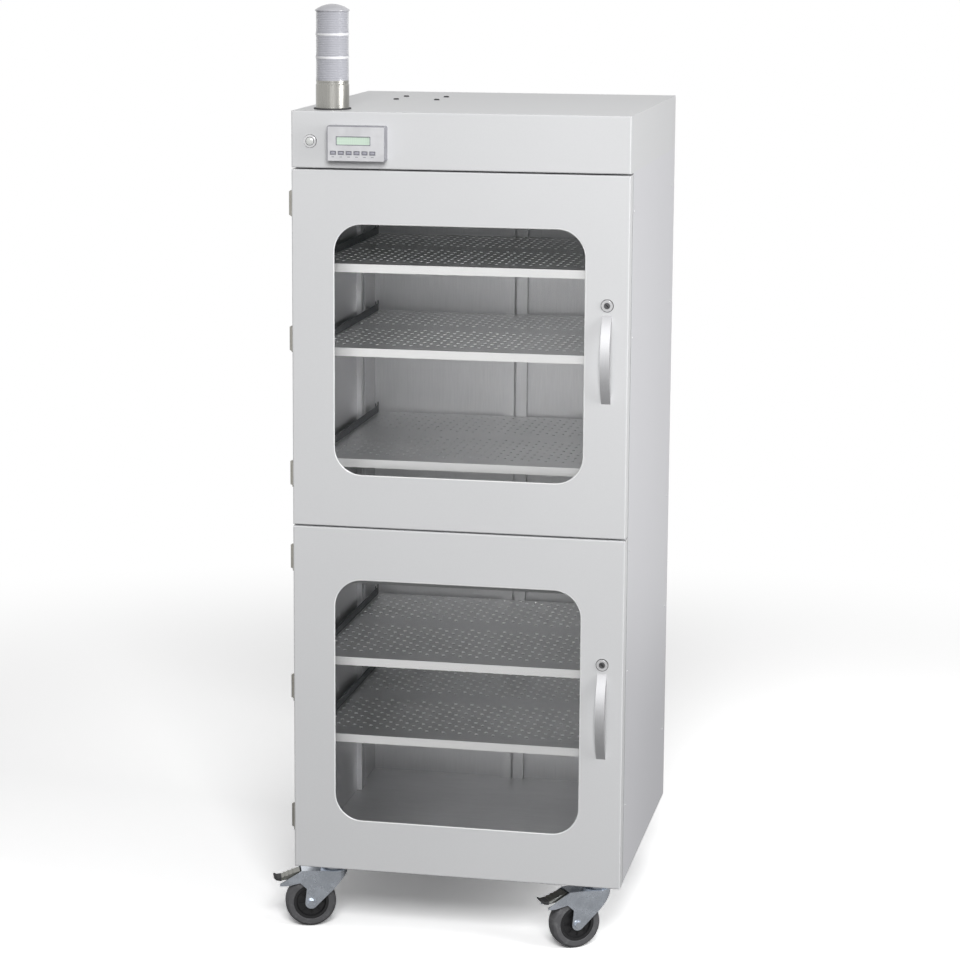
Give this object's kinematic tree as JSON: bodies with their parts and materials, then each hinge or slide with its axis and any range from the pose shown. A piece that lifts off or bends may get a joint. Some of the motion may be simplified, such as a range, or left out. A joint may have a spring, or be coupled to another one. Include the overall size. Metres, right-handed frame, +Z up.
{
  "type": "desiccator cabinet",
  "caption": "Tall dry storage cabinet with hinged glazed doors, perforated shelves, a control housing with a signal tower, and braked swivel castors.",
  "frame": {"origin": "on the floor under the middle of the overall box, which reaches from the front left brake pedal to the right side in X and from the handles to the power inlet in Y; the body stands 30 mm to the right of it and 12 mm behind it", "axes": "+Z up, the doors face -Y, the hinges are at -X and the locks at +X as seen from the front"},
  "size_m": [0.699, 0.6642, 1.806],
  "materials": {
    "housing_paint": "fine satin powder coat, light grey",
    "door_paint": "fine satin powder coat, light grey",
    "chamber_steel": "ground stainless sheet",
    "bracket_steel": "dark satin paint",
    "sensor_white": "white moulded plastic",
    "dryer_case": "plain painted sheet, inside the housing",
    "controller_face": "satin panel film over a folded case",
    "lcd": "pale green liquid crystal window",
    "key_grey": "grey membrane keys",
    "button_ring": "turned bezel",
    "button_cap": "milky translucent cap",
    "tower_metal": "nickel-plated tube on a black rubber disc",
    "tower_lens": "clear ribbed lens",
    "tower_white": "white lamp column",
    "tower_grey": "grey moulded cap",
    "black_plastic": "black moulded plastic",
    "hinge_steel": "steel butt hinge",
    "zinc": "bright zinc-plated pressing",
    "window_glass": "clear float glass",
    "gasket_rubber": "black magnetic door seal",
    "handle_alu": "satin drawn bow handle",
    "lock_chrome": "plated cam lock",
    "castor_rubber": "grey thermoplastic rubber tread",
    "pedal_black": "black ribbed pedal"
  },
  "bodies": {
    "cabinet": {"side_panel_left": "housing_paint", "side_panel_right": "housing_paint", "back_panel": "housing_paint", "chamber_floor": "chamber_steel", "chamber_ceiling": "chamber_steel", "front_frame": "housing_paint", "control_housing": "housing_paint", "corner_uprights": "chamber_steel", "shelf_brackets": "bracket_steel", "back_channel": "chamber_steel", "lower_shelves": "chamber_steel", "middle_shelves": "chamber_steel", "top_shelf": "chamber_steel", "humidity_sensor": "sensor_white", "drying_unit": "dryer_case", "controller_case": "controller_face", "display": "lcd", "power_button_bezel": "button_ring", "tower_base": "tower_metal", "tower_lenses": "tower_lens", "tower_core": "tower_white", "tower_cap": "tower_grey", "power_inlet": "black_plastic", "frame_hinge_leaves": "hinge_steel", "castor_plates": "zinc"},
    "upper_door": {"upper_door_panel": "door_paint", "upper_door_glass": "window_glass", "upper_door_gasket": "gasket_rubber", "upper_door_handle": "handle_alu", "upper_door_hinge_leaves": "hinge_steel", "upper_lock_barrel": "lock_chrome"},
    "upper_lock": {"upper_lock_plug": "lock_chrome"},
    "lower_door": {"lower_door_panel": "door_paint", "lower_door_glass": "window_glass", "lower_door_gasket": "gasket_rubber", "lower_door_handle": "handle_alu", "lower_door_hinge_leaves": "hinge_steel", "lower_lock_barrel": "lock_chrome"},
    "lower_lock": {"lower_lock_plug": "lock_chrome"},
    "power_button": {"power_button": "button_cap"},
    "key_1": {"key_1": "key_grey"},
    "key_2": {"key_2": "key_grey"},
    "key_3": {"key_3": "key_grey"},
    "key_4": {"key_4": "key_grey"},
    "key_5": {"key_5": "key_grey"},
    "key_6": {"key_6": "key_grey"},
    "front_left_castor": {"front_left_fork": "zinc"},
    "front_left_wheel": {"front_left_hub": "black_plastic", "front_left_tyre": "castor_rubber"},
    "front_left_brake": {"front_left_pedal": "pedal_black"},
    "front_right_castor": {"front_right_fork": "zinc"},
    "front_right_wheel": {"front_right_hub": "black_plastic", "front_right_tyre": "castor_rubber"},
    "front_right_brake": {"front_right_pedal": "pedal_black"},
    "rear_left_castor": {"rear_left_fork": "zinc"},
    "rear_left_wheel": {"rear_left_hub": "black_plastic", "rear_left_tyre": "castor_rubber"},
    "rear_right_castor": {"rear_right_fork": "zinc"},
    "rear_right_wheel": {"rear_right_hub": "black_plastic", "rear_right_tyre": "castor_rubber"}
  },
  "joints": [
    {"name": "upper_door_hinge", "type": "hinge", "parent": "cabinet", "child": "upper_door", "pos_m": [-0.2975, -0.2725, 1.1615], "axis": [0, 0, -1], "range_deg": [0, 180]},
    {"name": "upper_lock_turn", "type": "hinge", "parent": "upper_door", "child": "upper_lock", "pos_m": [0.31, -0.306, 1.261], "axis": [0, -1, 0], "range_deg": [0, 90]},
    {"name": "lower_door_hinge", "type": "hinge", "parent": "cabinet", "child": "lower_door", "pos_m": [-0.2975, -0.2725, 0.4795], "axis": [0, 0, -1], "range_deg": [0, 180]},
    {"name": "lower_lock_turn", "type": "hinge", "parent": "lower_door", "child": "lower_lock", "pos_m": [0.31, -0.306, 0.579], "axis": [0, -1, 0], "range_deg": [0, 90]},
    {"name": "power_button_push", "type": "slide", "parent": "cabinet", "child": "power_button", "axis": [0, 1, 0], "range_m": [0, 0.003], "stiffness_N_per_m": 400, "springref_m": -0.001},
    {"name": "key_1_press", "type": "slide", "parent": "cabinet", "child": "key_1", "axis": [0, 1, 0], "range_m": [0, 0.001], "stiffness_N_per_m": 400, "springref_m": -0.0005},
    {"name": "key_2_press", "type": "slide", "parent": "cabinet", "child": "key_2", "axis": [0, 1, 0], "range_m": [0, 0.001], "stiffness_N_per_m": 400, "springref_m": -0.0005},
    {"name": "key_3_press", "type": "slide", "parent": "cabinet", "child": "key_3", "axis": [0, 1, 0], "range_m": [0, 0.001], "stiffness_N_per_m": 400, "springref_m": -0.0005},
    {"name": "key_4_press", "type": "slide", "parent": "cabinet", "child": "key_4", "axis": [0, 1, 0], "range_m": [0, 0.001], "stiffness_N_per_m": 400, "springref_m": -0.0005},
    {"name": "key_5_press", "type": "slide", "parent": "cabinet", "child": "key_5", "axis": [0, 1, 0], "range_m": [0, 0.001], "stiffness_N_per_m": 400, "springref_m": -0.0005},
    {"name": "key_6_press", "type": "slide", "parent": "cabinet", "child": "key_6", "axis": [0, 1, 0], "range_m": [0, 0.001], "stiffness_N_per_m": 400, "springref_m": -0.0005},
    {"name": "front_left_swivel", "type": "hinge", "parent": "cabinet", "child": "front_left_castor", "pos_m": [-0.232, -0.226, 0.116], "axis": [0, 0, 1], "continuous": true},
    {"name": "front_left_wheel_spin", "type": "hinge", "parent": "front_left_castor", "child": "front_left_wheel", "pos_m": [-0.2748, -0.23991, 0.05], "axis": [0.309, -0.9511, 0], "continuous": true},
    {"name": "front_left_brake_press", "type": "hinge", "parent": "front_left_castor", "child": "front_left_brake", "pos_m": [-0.30048, -0.24825, 0.103], "axis": [0.309, -0.9511, 0], "range_deg": [0, 20]},
    {"name": "front_right_swivel", "type": "hinge", "parent": "cabinet", "child": "front_right_castor", "pos_m": [0.292, -0.226, 0.116], "axis": [0, 0, 1], "continuous": true},
    {"name": "front_right_wheel_spin", "type": "hinge", "parent": "front_right_castor", "child": "front_right_wheel", "pos_m": [0.25384, -0.24985, 0.05], "axis": [0.5299, -0.848, 0], "continuous": true},
    {"name": "front_right_brake_press", "type": "hinge", "parent": "front_right_castor", "child": "front_right_brake", "pos_m": [0.23094, -0.26415, 0.103], "axis": [0.5299, -0.848, 0], "range_deg": [0, 20]},
    {"name": "rear_left_swivel", "type": "hinge", "parent": "cabinet", "child": "rear_left_castor", "pos_m": [-0.232, 0.25, 0.116], "axis": [0, 0, 1], "continuous": true},
    {"name": "rear_left_wheel_spin", "type": "hinge", "parent": "rear_left_castor", "child": "rear_left_wheel", "pos_m": [-0.27278, 0.23098, 0.05], "axis": [0.4226, -0.9063, 0], "continuous": true},
    {"name": "rear_right_swivel", "type": "hinge", "parent": "cabinet", "child": "rear_right_castor", "pos_m": [0.292, 0.25, 0.116], "axis": [0, 0, 1], "continuous": true},
    {"name": "rear_right_wheel_spin", "type": "hinge", "parent": "rear_right_castor", "child": "rear_right_wheel", "pos_m": [0.25122, 0.23098, 0.05], "axis": [0.4226, -0.9063, 0], "continuous": true}
  ]
}
